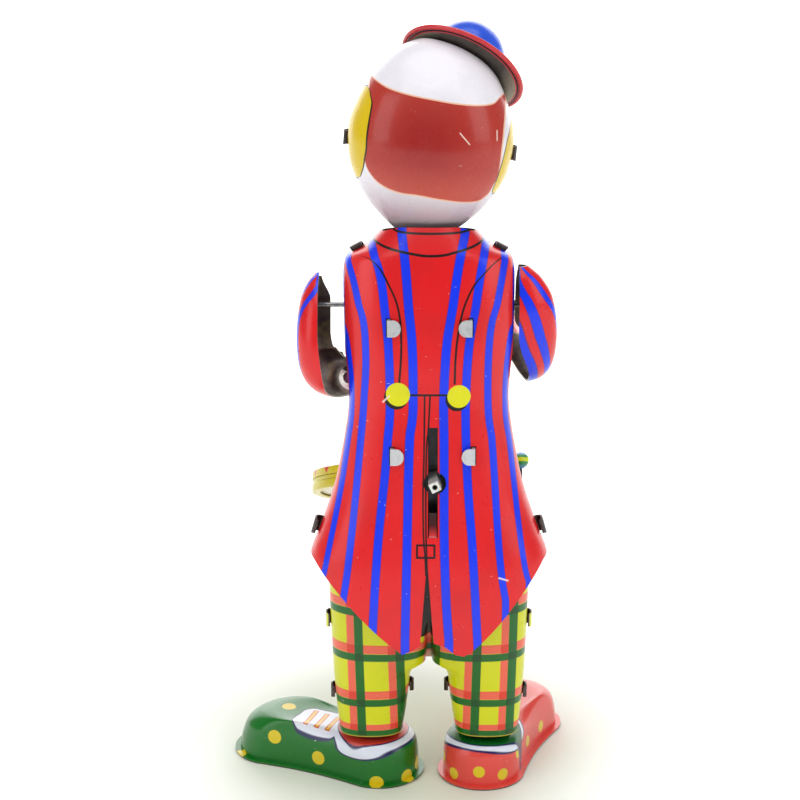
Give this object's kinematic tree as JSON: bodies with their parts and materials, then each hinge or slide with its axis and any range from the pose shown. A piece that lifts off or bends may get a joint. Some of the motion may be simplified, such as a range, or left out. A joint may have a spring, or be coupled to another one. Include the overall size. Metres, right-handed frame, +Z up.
{
  "type": "wind-up drumming figure",
  "caption": "Stamped tin wind-up drumming monkey in a striped tailcoat, plaid trousers and oversized shoes; arms beat a drum while the head rocks.",
  "frame": {"origin": "on the floor under the middle of the figure's bounding box", "axes": "+Z up, the figure faces -Y, its left is +X"},
  "size_m": [0.0934, 0.0934, 0.2001],
  "materials": {
    "coat_print": "glossy litho print on tinplate, red with blue stripes",
    "sleeve_print": "glossy litho print, red with blue stripes",
    "plaid_print": "glossy litho print, yellow plaid with green and salmon bands",
    "head_print": "glossy litho print, white with a red-brown patch at the back and a painted face",
    "hat_print": "glossy blue crown with a red brim",
    "green_shoe_print": "glossy green print with yellow dots and a white lacing panel",
    "red_shoe_print": "glossy salmon-red print with yellow dots",
    "glove_enamel": "glossy white enamel",
    "stick_enamel": "black lacquered turned wood",
    "bead_enamel": "lacquered turned bead with bands",
    "drum_print": "glossy yellow print",
    "hoop_print": "glossy yellow print with red triangles",
    "drum_skin": "cream print on tinplate",
    "bare_tin": "bare tinplate, slightly dulled",
    "wire_steel": "drawn wire and turned steel",
    "spring_steel": "blued spring steel",
    "wheel_brass": "stamped brass"
  },
  "bodies": {
    "figure": {"coat_back_shell": "coat_print", "coat_front_shell": "coat_print", "trousers_back_shell": "plaid_print", "trousers_front_shell": "plaid_print", "motor_back_plate": "bare_tin", "motor_front_plate": "bare_tin", "motor_pillar_1": "bare_tin", "motor_pillar_2": "bare_tin", "motor_pillar_3": "bare_tin", "motor_pillar_4": "bare_tin", "rocker_pin": "bare_tin", "mainspring": "spring_steel", "drum_wall": "drum_print", "drum_hoop_top": "hoop_print", "drum_hoop_bottom": "hoop_print", "drum_head": "drum_skin", "drum_bottom": "drum_skin", "drum_knob": "bead_enamel", "drum_bracket": "bare_tin", "bracket_rivet": "bare_tin", "left_foot_plate": "bare_tin", "right_foot_plate": "bare_tin", "left_ankle_rivet": "bare_tin", "right_ankle_rivet": "bare_tin"},
    "head": {"rocker": "bare_tin", "head_back_shell": "head_print", "head_front_shell": "head_print", "hat_shell": "hat_print"},
    "left_arm": {"left_sleeve": "sleeve_print", "left_arm_wire": "wire_steel", "left_hand": "glove_enamel", "left_drumstick": "stick_enamel", "left_stick_bead": "bead_enamel"},
    "right_arm": {"right_sleeve": "sleeve_print", "right_arm_wire": "wire_steel", "right_hand": "glove_enamel", "right_drumstick": "stick_enamel", "right_stick_bead": "bead_enamel"},
    "first_wheel": {"great_wheel": "wheel_brass", "click": "wire_steel"},
    "winder": {"winding_arbor": "wire_steel", "ratchet_wheel": "wire_steel"},
    "second_arbor": {"second_pinion": "wire_steel", "second_wheel": "wheel_brass"},
    "crank_arbor": {"crank_pinion": "wire_steel", "crank_wheel": "wheel_brass"},
    "governor": {"governor_pinion": "wire_steel", "governor_weight": "wheel_brass"},
    "left_foot": {"left_shoe": "green_shoe_print"},
    "right_foot": {"right_shoe": "red_shoe_print"}
  },
  "joints": [
    {"name": "left_arm_swing", "type": "hinge", "parent": "figure", "child": "left_arm", "pos_m": [0.01692, 0.02662, 0.1295], "axis": [1, 0, 0], "range_deg": [-28, 0]},
    {"name": "right_arm_swing", "type": "hinge", "parent": "figure", "child": "right_arm", "pos_m": [-0.03308, 0.02662, 0.1295], "axis": [1, 0, 0], "range_deg": [0, 28]},
    {"name": "head_rock", "type": "hinge", "parent": "figure", "child": "head", "pos_m": [-0.00808, 0.02942, 0.132], "axis": [0, 1, 0], "range_deg": [0, 6.01]},
    {"name": "first_wheel_turn", "type": "hinge", "parent": "figure", "child": "first_wheel", "pos_m": [-0.00958, 0.02123, 0.0868], "axis": [0, 1, 0], "continuous": true},
    {"name": "second_arbor_turn", "type": "hinge", "parent": "figure", "child": "second_arbor", "pos_m": [-0.00208, 0.02123, 0.09838], "axis": [0, 1, 0], "continuous": true},
    {"name": "crank_arbor_turn", "type": "hinge", "parent": "figure", "child": "crank_arbor", "pos_m": [-0.00808, 0.02293, 0.10638], "axis": [0, 1, 0], "continuous": true},
    {"name": "governor_turn", "type": "hinge", "parent": "figure", "child": "governor", "pos_m": [-0.01628, 0.02463, 0.11009], "axis": [0, 1, 0], "continuous": true},
    {"name": "winder_turn", "type": "hinge", "parent": "figure", "child": "winder", "pos_m": [-0.00958, 0.04113, 0.0868], "axis": [0, 1, 0], "continuous": true},
    {"name": "left_foot_swivel", "type": "hinge", "parent": "figure", "child": "left_foot", "pos_m": [0.00712, 0.02513, 0.006], "axis": [0, 0, 1], "range_deg": [-40, 12]},
    {"name": "right_foot_swivel", "type": "hinge", "parent": "figure", "child": "right_foot", "pos_m": [-0.02328, 0.02513, 0.006], "axis": [0, 0, 1], "range_deg": [-40, 12]}
  ],
  "couplings": [
    {"joint": "right_arm_swing", "follows": "left_arm_swing", "ratio": -1},
    {"joint": "head_rock", "follows": "left_arm_swing", "ratio": -0.21429},
    {"joint": "second_arbor_turn", "follows": "first_wheel_turn", "ratio": -3.6},
    {"joint": "crank_arbor_turn", "follows": "first_wheel_turn", "ratio": 10.8},
    {"joint": "governor_turn", "follows": "first_wheel_turn", "ratio": -37.8}
  ]
}
